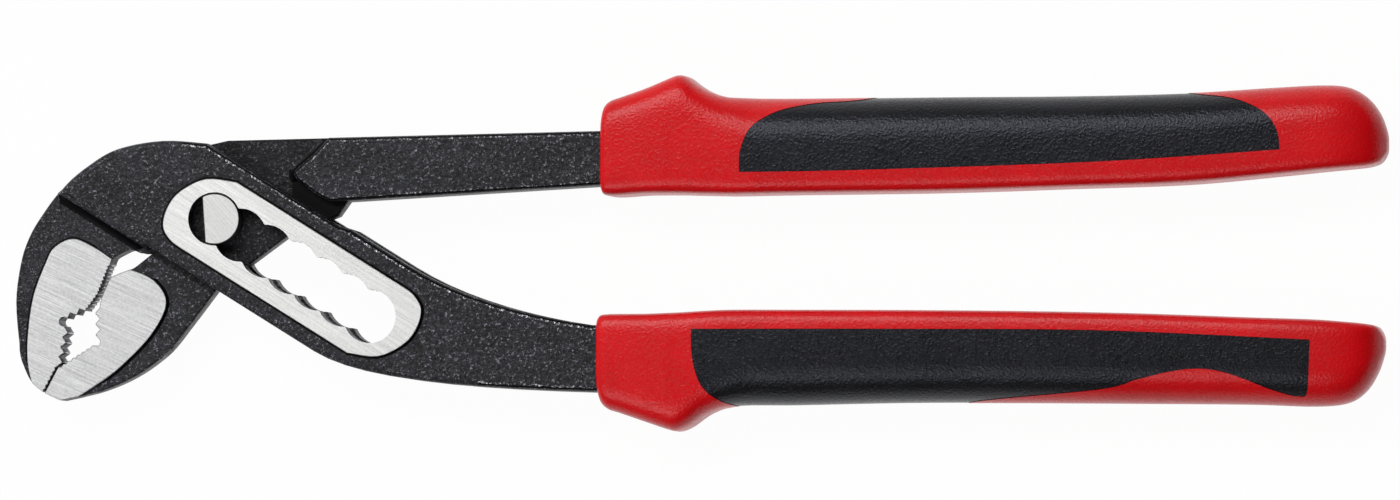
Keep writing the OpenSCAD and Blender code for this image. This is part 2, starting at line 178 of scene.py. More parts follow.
def new_material(name: str) -> tuple[Material, NodeTree]:
    """Make an empty node material.

    Args:
        name: Name of the real material and how it was made.

    Returns:
        The material and its node tree.
    """
    material = bpy.data.materials.new(name)
    material.use_nodes = True
    material.node_tree.nodes.clear()
    return material, material.node_tree


class Pattern(NamedTuple):
    """Noise in a finish: size of its features in millimetres, finer layers and their share."""

    size_mm: float
    layers: float = 2.0
    share: float = 0.5


@dataclass(frozen=True, kw_only=True)
class Finish(ABC):
    """What all finishes have: two colours, and a roughness and a relief that follow patterns.

    A span holds the two values of a pattern between which what it steers goes from end to end.
    """

    name: str
    dark: str
    light: str
    relief_mm: float
    smoothest: float
    roughest: float
    shade_span: tuple[float, float]
    rough_span: tuple[float, float] = (0.3, 0.7)
    relief_share: float = 1.0

    @abstractmethod
    def inputs(self, tree: NodeTree, place: NodeSocket) -> dict:
        """Work out the shader's inputs.

        Args:
            tree: Tree that takes the nodes.
            place: Place on the piece.

        Returns:
            Value or socket for each input.
        """

    def surface(
        self, tree: NodeTree, tone: NodeSocket, polish: NodeSocket, height: NodeSocket
    ) -> dict:
        """Lay the two colours, the roughness and the relief.

        Args:
            tree: Tree that takes the nodes.
            tone: Pattern that goes from the dark colour to the light one.
            polish: Pattern that goes from the roughest to the smoothest.
            height: Pattern of the relief.

        Returns:
            Socket for each of the three inputs.
        """
        shade, rough = (
            add_node(
                tree, "ShaderNodeMapRange",
                {"Value": value, "From Min": span[0], "From Max": span[1],
                 "To Min": ends[0], "To Max": ends[1]},
            ).outputs[0]
            for value, span, ends in (
                (tone, self.shade_span, (0.0, 1.0)),
                (polish, self.rough_span, (self.roughest, self.smoothest)),
            )
        )
        colour = add_node(
            tree, "ShaderNodeMix",
            {"Factor": shade, "A": linear(self.dark), "B": linear(self.light)}, data_type="RGBA",
        ).outputs["Result"]
        bump = add_node(
            tree, "ShaderNodeBump",
            {"Height": height, "Strength": self.relief_share, "Distance": self.relief_mm * MM},
        ).outputs["Normal"]
        return {"Base Color": colour, "Roughness": rough, "Normal": bump}

    def material(self) -> Material:
        """Build the node material.

        Returns:
            The finished material.
        """
        material, tree = new_material(self.name)
        place = add_node(tree, "ShaderNodeTexCoord").outputs["Object"]
        shader = add_node(tree, "ShaderNodeBsdfPrincipled", self.inputs(tree, place))
        add_node(tree, "ShaderNodeOutputMaterial", {"Surface": shader.outputs[0]})
        return material


@dataclass(frozen=True, kw_only=True)
class ForgedSkin(Finish):
    """Drop-forged steel under a black phosphate skin: matt and sandy, with tiny glints painted into
    its colour as light specks.

    Where the skin is rubbed, specks of bare steel show.
    """

    name: str = "phosphated_forged_steel"
    dark: str = "#050507"
    light: str = "#25252d"
    # Colour of the painted glints: light specks that stand in for highlights
    painted_glint: str = "#aaaab6"
    bare: str = "#c4c4ca"
    sand: Pattern = Pattern(0.7, 3.0, 0.6)
    pits: Pattern = Pattern(1.5, 2.0, 0.55)
    clouds: Pattern = Pattern(7.0)
    specks: Pattern = Pattern(0.4, 2.0, 0.7)
    cloud_share: float = 0.3
    shade_span: tuple[float, float] = (0.42, 0.58)
    # Where the painted glints show on the specks, where they gather on the pits, and their least
    # share away from the pits
    painted_glint_span: tuple[float, float] = (0.565, 0.75)
    cluster_span: tuple[float, float] = (0.4, 0.6)
    cluster_least: float = 0.25
    worn_span: tuple[float, float] = (0.62, 0.74)
    relief_mm: float = 0.18
    smoothest: float = 0.32
    roughest: float = 0.54
    specular: float = 0.3
    ior: float = 1.5
    # How far rubbing lowers the span over which bare steel shows
    rubbed: float = 0.0

    def inputs(self, tree: NodeTree, place: NodeSocket) -> dict:
        """Work out the shader's inputs.

        Args:
            tree: Tree that takes the nodes.
            place: Place on the piece.

        Returns:
            Value or socket for each input.
        """
        sand, pits, cloud, speck = (
            add_node(
                tree, "ShaderNodeTexNoise",
                {"Vector": place, "Scale": per_mm(size), "Detail": layers, "Roughness": share},
            ).outputs["Fac"]
            for size, layers, share in (self.sand, self.pits, self.clouds, self.specks)
        )
        spread = add_node(
            tree, "ShaderNodeMix", {"Factor": self.cloud_share, "A": sand, "B": cloud},
            data_type="FLOAT",
        ).outputs["Result"]
        height = add_node(tree, "ShaderNodeMath", {0: sand, 1: pits}, operation="ADD").outputs[0]
        inputs = self.surface(tree, spread, sand, height)
        inputs |= {"Specular IOR Level": self.specular, "IOR": self.ior}
        # Painted highlights: light glint specks laid into the colour, gathered by the pits
        painted_glint_share, cluster = (
            add_node(
                tree, "ShaderNodeMapRange",
                {"Value": value, "From Min": span[0], "From Max": span[1], "To Min": least},
            ).outputs[0]
            for value, span, least in (
                (speck, self.painted_glint_span, 0.0), (pits, self.cluster_span, self.cluster_least)
            )
        )
        painted_glint_share = add_node(
            tree, "ShaderNodeMath", {0: painted_glint_share, 1: cluster}, operation="MULTIPLY"
        ).outputs[0]
        # Coats over the sand: the painted glints, then the bare steel of rubbed edges
        coats = [(painted_glint_share, self.painted_glint)]
        if self.rubbed:
            worn = add_node(
                tree, "ShaderNodeMapRange",
                {"Value": speck, "From Min": self.worn_span[0] - self.rubbed,
                 "From Max": self.worn_span[1] - self.rubbed},
            ).outputs[0]
            inputs["Metallic"] = worn
            coats.append((worn, self.bare))
        for share, colour in coats:
            inputs["Base Color"] = add_node(
                tree, "ShaderNodeMix",
                {"Factor": share, "A": inputs["Base Color"], "B": linear(colour)},
                data_type="RGBA",
            ).outputs["Result"]
        return inputs


@dataclass(frozen=True, kw_only=True)
class GroundSteel(Finish):
    """Steel ground bright on a belt: silvery, with fine straight scratches along the belt's run."""

    name: str = "belt_ground_steel"
    dark: str = "#c8c8c8"
    light: str = "#f0f0ee"
    scratches: Pattern = Pattern(0.2, 4.0, 0.7)
    run_mm: float = 9.0
    grain: Pattern = Pattern(0.45)
    grain_share: float = 0.25
    shade_span: tuple[float, float] = (0.32, 0.62)
    turn: float = -SLOT_ANGLE
    relief_mm: float = 0.006
    relief_share: float = 0.6
    smoothest: float = 0.38
    roughest: float = 0.5
    drawn_out: float = 0.75

    def inputs(self, tree: NodeTree, place: NodeSocket) -> dict:
        """Work out the shader's inputs.

        Args:
            tree: Tree that takes the nodes.
            place: Place on the piece.

        Returns:
            Value or socket for each input.
        """
        angle = math.radians(self.turn)
        turned = add_node(
            tree, "ShaderNodeMapping", {"Vector": place, "Rotation": (0, 0, -angle)}
        ).outputs[0]
        # The scratches are drawn about four times as coarse as a real belt's, so that they show
        width, run = per_mm(self.scratches.size_mm), per_mm(self.run_mm)
        drawn = add_node(
            tree, "ShaderNodeMapping", {"Vector": turned, "Scale": (run, width, run)}
        ).outputs[0]
        scratch, grain = (
            add_node(
                tree, "ShaderNodeTexNoise",
                {"Vector": vector, "Scale": scale, "Detail": pattern.layers,
                 "Roughness": pattern.share},
            ).outputs["Fac"]
            for vector, scale, pattern in (
                (drawn, 1.0, self.scratches), (place, per_mm(self.grain.size_mm), self.grain)
            )
        )
        mixed = add_node(
            tree, "ShaderNodeMix", {"Factor": self.grain_share, "A": scratch, "B": grain},
            data_type="FLOAT",
        ).outputs["Result"]
        across = add_node(
            tree, "ShaderNodeVectorTransform",
            {"Vector": (-math.sin(angle), math.cos(angle), 0.0)},
            vector_type="VECTOR", convert_from="OBJECT", convert_to="WORLD",
        ).outputs[0]
        inputs = self.surface(tree, mixed, mixed, scratch)
        return inputs | {"Metallic": 1.0, "Anisotropic": self.drawn_out, "Tangent": across}


@dataclass(frozen=True, kw_only=True)
class MouldedGrip(Finish):
    """Plastic moulded in a spark-eroded tool: a satin skin with a fine even grain."""

    shade_span: tuple[float, float] = (0.35, 0.65)
    clouds: Pattern
    grain: Pattern = Pattern(0.45)
    grain_share: float = 0.5
    specular: float
    sheen: str
    ior: float = 1.5

    def inputs(self, tree: NodeTree, place: NodeSocket) -> dict:
        """Work out the shader's inputs.

        Args:
            tree: Tree that takes the nodes.
            place: Place on the piece.

        Returns:
            Value or socket for each input.
        """
        grain, cloud = (
            add_node(
                tree, "ShaderNodeTexNoise",
                {"Vector": place, "Scale": per_mm(size), "Detail": layers, "Roughness": share},
            ).outputs["Fac"]
            for size, layers, share in (self.grain, self.clouds)
        )
        mixed = add_node(
            tree, "ShaderNodeMix", {"Factor": self.grain_share, "A": cloud, "B": grain},
            data_type="FLOAT",
        ).outputs["Result"]
        return self.surface(tree, mixed, grain, grain) | {
            "IOR": self.ior, "Specular IOR Level": self.specular,
            "Specular Tint": linear(self.sheen),
        }


@dataclass(frozen=True)
class PaperFloor:
    """Matt white paper: it looks white to the eye and in the steel, and keeps a faint shadow."""

    name: str = "matt_white_paper"
    colour: str = "#f4f4f2"
    seen_white: float = 0.97

    def material(self) -> Material:
        """Build the node material.

        Returns:
            The finished material.
        """
        material, tree = new_material(self.name)
        paper = add_node(tree, "ShaderNodeBsdfDiffuse", {"Color": linear(self.colour)})
        white = add_node(tree, "ShaderNodeEmission", {"Strength": 1.0})
        share = add_node(
            tree, "ShaderNodeMath", {0: seen_rays(tree), 1: self.seen_white}, operation="MULTIPLY"
        )
        mixed = add_node(
            tree, "ShaderNodeMixShader",
            {0: share.outputs[0], 1: paper.outputs[0], 2: white.outputs[0]},
        )
        add_node(tree, "ShaderNodeOutputMaterial", {"Surface": mixed.outputs[0]})
        return material


def seen_rays(tree: NodeTree) -> NodeSocket:
    """Add the test for rays that show a surface, straight or in a reflection.

    Args:
        tree: Tree that takes the nodes.

    Returns:
        Socket that is 1 for such a ray.
    """
    path = add_node(tree, "ShaderNodeLightPath").outputs
    seen = path["Is Camera Ray"]
    for kind in ("Is Glossy Ray", "Is Transmission Ray"):
        seen = add_node(
            tree, "ShaderNodeMath", {0: seen, 1: path[kind]}, operation="MAXIMUM"
        ).outputs[0]
    return seen


def solid_copy(node: str) -> BMesh:
    """Copy a solid's mesh, weld its loose triangles and merge its flat faces.

    Args:
        node: Name of the solid.

    Returns:
        The copy.
    """
    bm = bmesh.new()
    bm.from_mesh(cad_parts[node].data)
    bmesh.ops.remove_doubles(bm, verts=bm.verts, dist=WELD * MM)
    bmesh.ops.dissolve_limit(
        bm, angle_limit=math.radians(FLAT_TURN), use_dissolve_boundaries=False,
        verts=bm.verts, edges=bm.edges,
    )
    return bm


def from_pin(point: Vector) -> tuple[float, float]:
    """Give a point's place from the pin, along the tool and up it, in millimetres."""
    return point.x - PIN[0], point.y - PIN[1]


def in_slot(point: Vector) -> tuple[float, float]:
    """Give a point's place from the pin, along the slot and across it.

    Args:
        point: Point in millimetres.

    Returns:
        Both distances in millimetres.
    """
    angle = math.radians(SLOT_ANGLE)
    x, y = from_pin(point)
    return x * math.cos(angle) - y * math.sin(angle), x * math.sin(angle) + y * math.cos(angle)


def off_middle(point: Vector) -> float:
    """Give a point's distance from the middle plane, in millimetres."""
    return abs(point.z / MM - MIDDLE)


def level_edges(
    bm: BMesh, level: float, convex: bool, where: Callable[[Vector], bool] = lambda point: True
) -> list[BMEdge]:
    """Find the sharp edges that lie level on both sides of the middle plane.

    Args:
        bm: Mesh to search.
        level: Distance from the middle plane, in millimetres.
        convex: True for outer edges, False for inner ones.
        where: Test of an edge's middle point, in millimetres.

    Returns:
        The edges.
    """
    found = []
    for edge in bm.edges:
        if len(edge.link_faces) != 2 or edge.is_convex != convex:
            continue
        if edge.calc_face_angle() < math.radians(SHARP_TURN):
            continue
        level_ends = all(abs(off_middle(v.co) - level) < LEVEL_SLACK for v in edge.verts)
        if level_ends and where((edge.verts[0].co + edge.verts[1].co) / (2 * MM)):
            found.append(edge)
    return found


def clear_of_ends(edges: Sequence[BMEdge], gap: float) -> list[BMEdge]:
    """Leave out the edges near the ends of each run, where a fillet would pass the outline.

    Args:
        edges: Edges of the runs.
        gap: Distance to keep from an end, in millimetres.

    Returns:
        The edges that are left.
    """
    uses = Counter(vert for edge in edges for vert in edge.verts)
    ends = [vert.co for vert, count in uses.items() if count == 1]
    return [
        edge for edge in edges
        if all((end - vert.co).length > gap * MM for vert in edge.verts for end in ends)
    ]


def inner_stretch(edge: BMEdge, left_gap: float, right_gap: float) -> BMEdge:
    """Split a long edge near both ends.

    Args:
        edge: Edge to split.
        left_gap: Distance of the split from the end towards the jaws, in millimetres.
        right_gap: Distance of the split from the end towards the grips.

    Returns:
        The stretch between the splits.
    """
    start = min(edge.verts, key=lambda vert: vert.co.x)
    rest, first = bmesh.utils.edge_split(edge, start, left_gap * MM / edge.calc_length())
    stretch = next(link for link in first.link_edges if link.other_vert(first) is not start
                   and link in (edge, rest))
    far = stretch.other_vert(first)
    _, last = bmesh.utils.edge_split(stretch, far, right_gap * MM / stretch.calc_length())
    return next(link for link in first.link_edges if link.other_vert(first) is last)


def round_edges(
    bm: BMesh, edges: Sequence[BMEdge], radius: float, segments: int, skin: Skin = Skin.FORGED
) -> None:
    """Round edges off, or fill them if they are inner edges.

    Args:
        bm: Mesh to work.
        edges: Edges to round.
        radius: Width of the rounding, in millimetres.
        segments: Number of faces across it.
        skin: Finish of the new faces.
    """
    made = bmesh.ops.bevel(
        bm, geom=list(edges), offset=radius * MM, offset_type="OFFSET", segments=segments,
        profile=0.5, affect="EDGES", material=-1, clamp_overlap=False, loop_slide=False,
    )
    for face in made["faces"]:
        face.material_index = skin


def place_mesh(name: str, bm: BMesh) -> Object:
    """Put a mesh into the scene as an object, and free it.

    Args:
        name: Name of the object.
        bm: Finished mesh.

    Returns:
        The object.
    """
    mesh = bpy.data.meshes.new(name)
    bm.to_mesh(mesh)
    bm.free()
    made = bpy.data.objects.new(name, mesh)
    bpy.context.scene.collection.objects.link(made)
    return made


def finish_piece(
    name: str, bm: BMesh, body: Body, materials: Iterable[Material],
    level_flat: bool = True,
) -> Object:
    """Turn a mesh into a piece that stands for the solid of the same name.

    Args:
        name: Name of the solid, which the piece's name starts with.
        bm: Finished mesh, which is freed.
        body: Body that the piece rides on.
        materials: Finishes in their order.
        level_flat: True where level faces are shaded flat.

    Returns:
        The piece.
    """
    piece = place_mesh(f"{name}_dressed", bm)
    mesh = piece.data
    mesh.name = f"{name}_shape"
    for material in materials:
        mesh.materials.append(material)
    mesh.shade_smooth()
    mesh.set_sharp_from_angle(angle=math.radians(SHARP_TURN))
    for face in mesh.polygons:
        face.use_smooth = not (level_flat and abs(face.normal.z) > LEVEL_NORMAL)
    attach(piece, body.value)
    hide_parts(name)
    return piece


def grind(bm: BMesh, level: float, skin: Skin) -> None:
    """Grind the level faces at a height.

    Args:
        bm: Mesh to work.
        level: Distance from the middle plane, in millimetres.
        skin: Finish of the ground faces.
    """
    for face in bm.faces:
        height = off_middle(face.calc_center_median())
        if abs(height - level) < LEVEL_SLACK and abs(face.normal.z) > LEVEL_NORMAL:
            face.material_index = skin


def pad_rim(bm: BMesh, low: float, high: float) -> list[BMEdge]:
    """Find the outer edges of a raised pad, away from the walls through the whole forging.

    Args:
        bm: Mesh to search.
        low: Height of the forged face from the middle plane, in millimetres.
        high: Height of the pad.

    Returns:
        The edges.
    """
    return [
        edge for edge in level_edges(bm, high, True)
        if all(
            off_middle(vert.co) > low - LEVEL_SLACK
            for face in edge.link_faces for vert in face.verts
        )
    ]


def paint_flank_light_and_shade(bm: BMesh, through: float) -> None:
    """Paint light and shade on the teeth's flanks: a lighter milled finish as painted light, but
    black painted shade where they face the jaws' tip.

    Args:
        bm: Mesh to work.
        through: Least height of a flank from the middle plane, in millimetres.
    """
    (left, low), (right, high) = BITE_BOX
    for face in bm.faces:
        point = face.calc_center_median() / MM
        heights = [vert.co.z / MM - MIDDLE for vert in face.verts]
        if not (left < point.x < right and low < point.y < high):
            continue
        if max(heights) - min(heights) < 2 * through or abs(face.normal.z) > FLANK_NORMAL:
            continue
        # Flanks that don't face down get painted light; of the others, those facing along the tool
        # get painted shade
        if face.normal.y > -FLANK_NORMAL:
            face.material_index = Skin.PAINTED_LIT_FLANK
        elif face.normal.x > FLANK_NORMAL:
            face.material_index = Skin.PAINTED_SHADE


def paint_shade_on_feet(bm: BMesh, low: float, high: float) -> None:
    """Paint shade on the walls between a forged face and the pad above it, in the near-black
    finish.

    Args:
        bm: Mesh to work.
        low: Height of the forged face from the middle plane, in millimetres.
        high: Height of the pad.
    """
    for face in bm.faces:
        heights = [off_middle(vert.co) for vert in face.verts]
        if min(heights) > low - LEVEL_SLACK and max(heights) < high + LEVEL_SLACK:
            if abs(face.normal.z) < LEVEL_NORMAL:
                # Painted shade on the pad's foot walls
                face.material_index = Skin.PAINTED_SHADE


def rub_crests_and_paint_side_shade(bm: BMesh) -> None:
    """Keep the rubbed finish on the crests of rounded edges, over painted shade, a plain band and
    painted shade.

    Args:
        bm: Mesh to work.
    """
    for face in bm.faces:
        if face.material_index != Skin.RUBBED:
            continue
        upright = abs(face.normal.z)
        if upright < CREST_NORMAL:
            plain = BAND_NORMALS[0] < upright < BAND_NORMALS[1]
            # The side bands that turn dark get painted shade
            face.material_index = Skin.FORGED if plain else Skin.PAINTED_SHADE


@dataclass
class SlottedArm:
    """Arm with the box, the notched slot, the hook and the lower tang.

    Levels count from the middle plane, and starts, lines, corners and reaches from the pin.
    """

    pad_level: float = 6.0
    face_level: float = 5.4
    jaw_pad_level: float = 2.9
    rim_level: float = 2.4
    edge_radius: float = 0.9
    edge_segments: int = 4
    rub_start: float = -13.0
    rub_reach: float = 50.0
    pad_foot: float = 0.42
    step_line: float = -11.3
    step_slack: float = 0.3
    step_foot: float = 1.5
    step_gaps: tuple[float, float] = (1.3, 2.4)
    jaw_line: float = -12.9
    jaw_pad_foot: float = 0.36
    foot_end: float = 2.5
    hook_corner: tuple[float, float] = (-25.0, -32.0)
    hook_lean: float = 0.12
    hook_reach: float = -21.5
    rim_radius: float = 0.6
    back_start: float = -22.0
    back_line: float = -11.4
    back_blend: float = 10.0
    back_pull: float = 0.95
    pad_edge: float = 0.12
    segments: int = 3

    def build(self, skins: Sequence[Material]) -> Object:
        """Round the forging's edges and grind its pads.

        Args:
            skins: Finishes in the order of Skin.

        Returns:
            The dressed arm.
        """
        bm = solid_copy("slotted_arm")
        outer = level_edges(bm, self.face_level, True)
        round_edges(bm, outer, self.edge_radius, self.edge_segments, Skin.RUBBED)
        round_edges(bm, level_edges(bm, self.face_level, False), self.pad_foot, self.segments)
        step = level_edges(bm, self.rim_level, False, self.on_step)
        step = [inner_stretch(edge, *self.step_gaps) for edge in step]
        # The step's fillet is painted shade, for the dark groove along the step
        round_edges(bm, step, self.step_foot, self.segments, Skin.PAINTED_SHADE)
        pad = level_edges(bm, self.rim_level, False, self.off_step)
        round_edges(bm, clear_of_ends(pad, self.foot_end), self.jaw_pad_foot, self.segments)
        back = level_edges(bm, self.rim_level, True, self.on_back)
        round_edges(bm, back, self.rim_radius, self.segments)
        self.keep_skin(bm)
        self.blend_back(bm)
        pads = (
            (self.face_level, self.pad_level, Skin.GROUND),
            (self.rim_level, self.jaw_pad_level, Skin.JAW),
        )
        for low, high, _ in pads:
            paint_shade_on_feet(bm, low, high)
        paint_flank_light_and_shade(bm, self.rim_level)
        for low, high, skin in pads:
            round_edges(bm, pad_rim(bm, low, high), self.pad_edge, 1, skin)
        for _, high, skin in pads:
            grind(bm, high, skin)
        return finish_piece("slotted_arm", bm, Body.SLOTTED, skins)

    def keep_skin(self, bm: BMesh) -> None:
        """Leave the skin whole where a hand or a bench doesn't rub the edges.

        Args:
            bm: Mesh to work.
        """
        for face in bm.faces:
            if face.material_index != Skin.RUBBED:
                continue
            point = face.calc_center_median() / MM
            along, across = in_slot(point)
            below = across < 0 and from_pin(point)[0] < self.rub_reach
            if below or along < self.rub_start:
                face.material_index = Skin.FORGED
        rub_crests_and_paint_side_shade(bm)

    def blend_back(self, bm: BMesh) -> None:
        """Draw the box's edge in towards the step, so that the hook's back runs on smoothly.

        Args:
            bm: Mesh to work.
        """
        angle = math.radians(SLOT_ANGLE)
        inwards = Vector((math.cos(angle), -math.sin(angle), 0))
        for vert in bm.verts:
            along, across = in_slot(vert.co / MM)
            rise = off_middle(vert.co) - self.rim_level
            if rise < LEVEL_SLACK or along > self.back_start or across < self.back_line:
                continue
            near = max(0.0, 1 - (across - self.step_line) / self.back_blend)
            pull = inwards * self.back_pull * MM * near * near
            vert.co += pull * rise / (self.face_level - self.rim_level)

    def on_step(self, point: Vector) -> bool:
        """Tell whether a point is on the foot of the step between the box and the hook's jaw."""
        return abs(in_slot(point)[1] - self.step_line) < self.step_slack

    def off_step(self, point: Vector) -> bool:
        """Tell whether a point is below the step, on the hook's jaw."""
        return in_slot(point)[1] < self.jaw_line

    def on_back(self, point: Vector) -> bool:
        """Tell whether a point is on the back of the hook, away from its teeth.

        Args:
            point: Point in millimetres.

        Returns:
            True where it is.
        """
        x, y = from_pin(point)
        line = self.hook_corner[0] - (y - self.hook_corner[1]) * self.hook_lean
        return x < line and y > self.hook_reach


@dataclass
class ThroughArm:
    """Arm that passes through the box, with the lower jaw, the plate and the upper tang.

    Levels count from the middle plane, and lines, rises and corners from the pin.
    """

    tang_level: float = 4.6
    plate_level: float = 2.2
    jaw_pad_level: float = 2.9
    edge_radius: float = 0.8
    edge_segments: int = 4
    shoulder_corner: tuple[float, float] = (10.0, 6.3)
    shoulder_foot: float = 1.3
    foot_end: float = 1.0
    jaw_pad_foot: float = 0.45
    jaw_foot_end: float = 3.5
    pin_room: float = 6.0
    side_corner: tuple[float, float] = (-8.0, 8.0)
    jaw_corner: tuple[float, float] = (-21.0, -27.0)
    jaw_lean: float = 0.1
    plate_radius: float = 0.35
    # The skin line reaches onto the jaw's neck for the painted shadow; the shade line and tip rise
    # bound the painted shadow below the shoulder's tip
    skin_line: float = -12.0
    shade_line: float = 13.6
    halo_rise: float = 9.0
    tip_rise: float = 8.0
    pad_edge: float = 0.12
    segments: int = 3

    def build(self, skins: Sequence[Material]) -> Object:
        """Round the forging's edges and grind its pad.

        Args:
            skins: Finishes in the order of Skin.

        Returns:
            The dressed arm.
        """
        bm = solid_copy("through_arm")
        outer = level_edges(bm, self.tang_level, True)
        round_edges(bm, outer, self.edge_radius, self.edge_segments, Skin.RUBBED)
        shoulder = clear_of_ends(
            level_edges(bm, self.plate_level, False, self.on_shoulder), self.foot_end
        )
        # The shoulder's fillet is painted shade, for the dark halo along its foot
        round_edges(bm, shoulder, self.shoulder_foot, self.segments, Skin.PAINTED_SHADE)
        pad = level_edges(bm, self.plate_level, False, self.off_shoulder)
        round_edges(bm, clear_of_ends(pad, self.jaw_foot_end), self.jaw_pad_foot, self.segments)
        sides = level_edges(bm, self.plate_level, True, self.on_plate)
        round_edges(bm, sides, self.plate_radius, self.segments)
        rub_crests_and_paint_side_shade(bm)
        paint_shade_on_feet(bm, self.plate_level, self.jaw_pad_level)
        self.darken_plate(bm)
        paint_flank_light_and_shade(bm, self.plate_level)
        rim = pad_rim(bm, self.plate_level, self.jaw_pad_level)
        round_edges(bm, rim, self.pad_edge, 1, Skin.JAW)
        grind(bm, self.jaw_pad_level, Skin.JAW)
        return finish_piece("through_arm", bm, Body.THROUGH, skins)

    def darken_plate(self, bm: BMesh) -> None:
        """Give the plate that slides in the box a darker skin, which also paints the box edge's
        shadow on the jaw's neck, and paint shadow below the shoulder's tip.

        Args:
            bm: Mesh to work.
        """
        angle = math.radians(SLOT_ANGLE)
        across = Vector((math.sin(angle), math.cos(angle), 0))
        bmesh.ops.bisect_plane(
            bm, geom=[*bm.verts, *bm.edges, *bm.faces], plane_no=across,
            plane_co=(Vector((*PIN, 0)) + across * self.skin_line) * MM,
        )
        level = [
            face for face in bm.faces
            if abs(face.normal.z) > LEVEL_NORMAL
            and abs(off_middle(face.calc_center_median()) - self.plate_level) < LEVEL_SLACK
        ]
        edges = dict.fromkeys(edge for face in level for edge in face.edges)
        verts = dict.fromkeys(vert for face in level for vert in face.verts)
        bmesh.ops.bisect_plane(
            bm, geom=[*verts, *edges, *level], plane_no=(1, 0, 0),
            plane_co=Vector((PIN[0] + self.shade_line, 0, 0)) * MM,
        )
        for face in bm.faces:
            middle = face.calc_center_median()
            if in_slot(middle / MM)[1] < self.skin_line or off_middle(middle) > self.jaw_pad_level:
                continue
            x, y = from_pin(middle / MM)
            upright = abs(face.normal.z) > CREST_NORMAL
            # The darker skin reaches onto the jaw's neck as a painted shadow of the box's edge
            if face.material_index == Skin.FORGED or (upright and y > self.halo_rise):
                face.material_index = Skin.PLATE_AND_PAINTED_SHADOW
            # Painted shadow below the shoulder's tip
            if upright and x > self.shade_line and y < self.tip_rise:
                face.material_index = Skin.PAINTED_SHADE

    def on_shoulder(self, point: Vector) -> bool:
        """Tell whether a point is on the shoulder's foot, above what nears the box when slid."""
        x, y = from_pin(point)
        return x > self.shoulder_corner[0] and y > self.shoulder_corner[1]

    @staticmethod
    def off_shoulder(point: Vector) -> bool:
        """Tell whether a point is on the jaw, away from the tang's shoulder."""
        return point.x < PIN[0]

    def on_plate(self, point: Vector) -> bool:
        """Tell whether a point is on the plate's smooth edges, away from the teeth and the pin.

        Args:
            point: Point in millimetres.

        Returns:
            True where it is.
        """
        x, y = from_pin(point)
        on_side = x > self.side_corner[0] and y < self.side_corner[1]
        on_jaw = x > self.jaw_corner[0] and y < self.jaw_corner[1] - x * self.jaw_lean
        return math.hypot(x, y) > self.pin_room and (on_side or on_jaw)


@dataclass
class PivotPin:
    """Pin with its flat, ground off level with the pads, and the plug in its bore."""

    end_level: float = 6.0
    rim_radius: float = 0.18
    plug_radius: float = 0.15
    segments: int = 2

    def build(self, skins: Sequence[Material]) -> list[Object]:
        """Break the edges of the pin and its plug.

        Args:
            skins: Finish of the turned sides and of the ground ends.

        Returns:
            The pin and the plug.
        """
        bm = solid_copy("pivot_pin")
        round_edges(bm, level_edges(bm, self.end_level, True), self.rim_radius, self.segments)
        grind(bm, self.end_level, Skin.GROUND)
        pin = finish_piece("pivot_pin", bm, Body.THROUGH, skins)
        bm = solid_copy("pin_plug")
        ends = [edge for edge in bm.edges if edge.calc_face_angle(0) > math.radians(SHARP_TURN)]
        round_edges(bm, ends, self.plug_radius, self.segments)
        plug = finish_piece("pin_plug", bm, Body.ADJUSTER, skins)
        return [pin, plug]


def smooth_curve(points: Sequence[Sequence[float]], steps: int) -> list[tuple[float, ...]]:
    """Draw a smooth curve through points of any number of values.

    Args:
        points: Points that the curve passes through.
        steps: Steps from one point to the next.

    Returns:
        Points along the curve.
    """
    last = len(points) - 1
    curve = []
    for i in range(last):
        corners = list(
            zip(points[max(i - 1, 0)], points[i], points[i + 1], points[min(i + 2, last)])
        )
        for j in range(steps):
            f = j / steps
            curve.append(tuple(
                b + (c - a) * f / 2 + (2 * a - 5 * b + 4 * c - d) * f * f / 2
                + (3 * b - a - 3 * c + d) * f**3 / 2
                for a, b, c, d in corners
            ))
    return [*curve, tuple(points[last])]


def cut(target: Object, tool: Object, way: Cut, keep_tool: bool = False) -> None:
    """Cut one object by another.

    Args:
        target: Object that is changed.
        tool: Object that cuts it.
        way: What is left of the object.
        keep_tool: True where the tool is used again.
    """
    modifier = target.modifiers.new("cut", "BOOLEAN")
    modifier.object = tool
    modifier.operation = way.value
    modifier.solver = "EXACT"
    graph = bpy.context.evaluated_depsgraph_get()
    mesh = bpy.data.meshes.new_from_object(target.evaluated_get(graph))
    target.modifiers.clear()
    target.data = mesh
    if not keep_tool:
        bpy.data.objects.remove(tool)


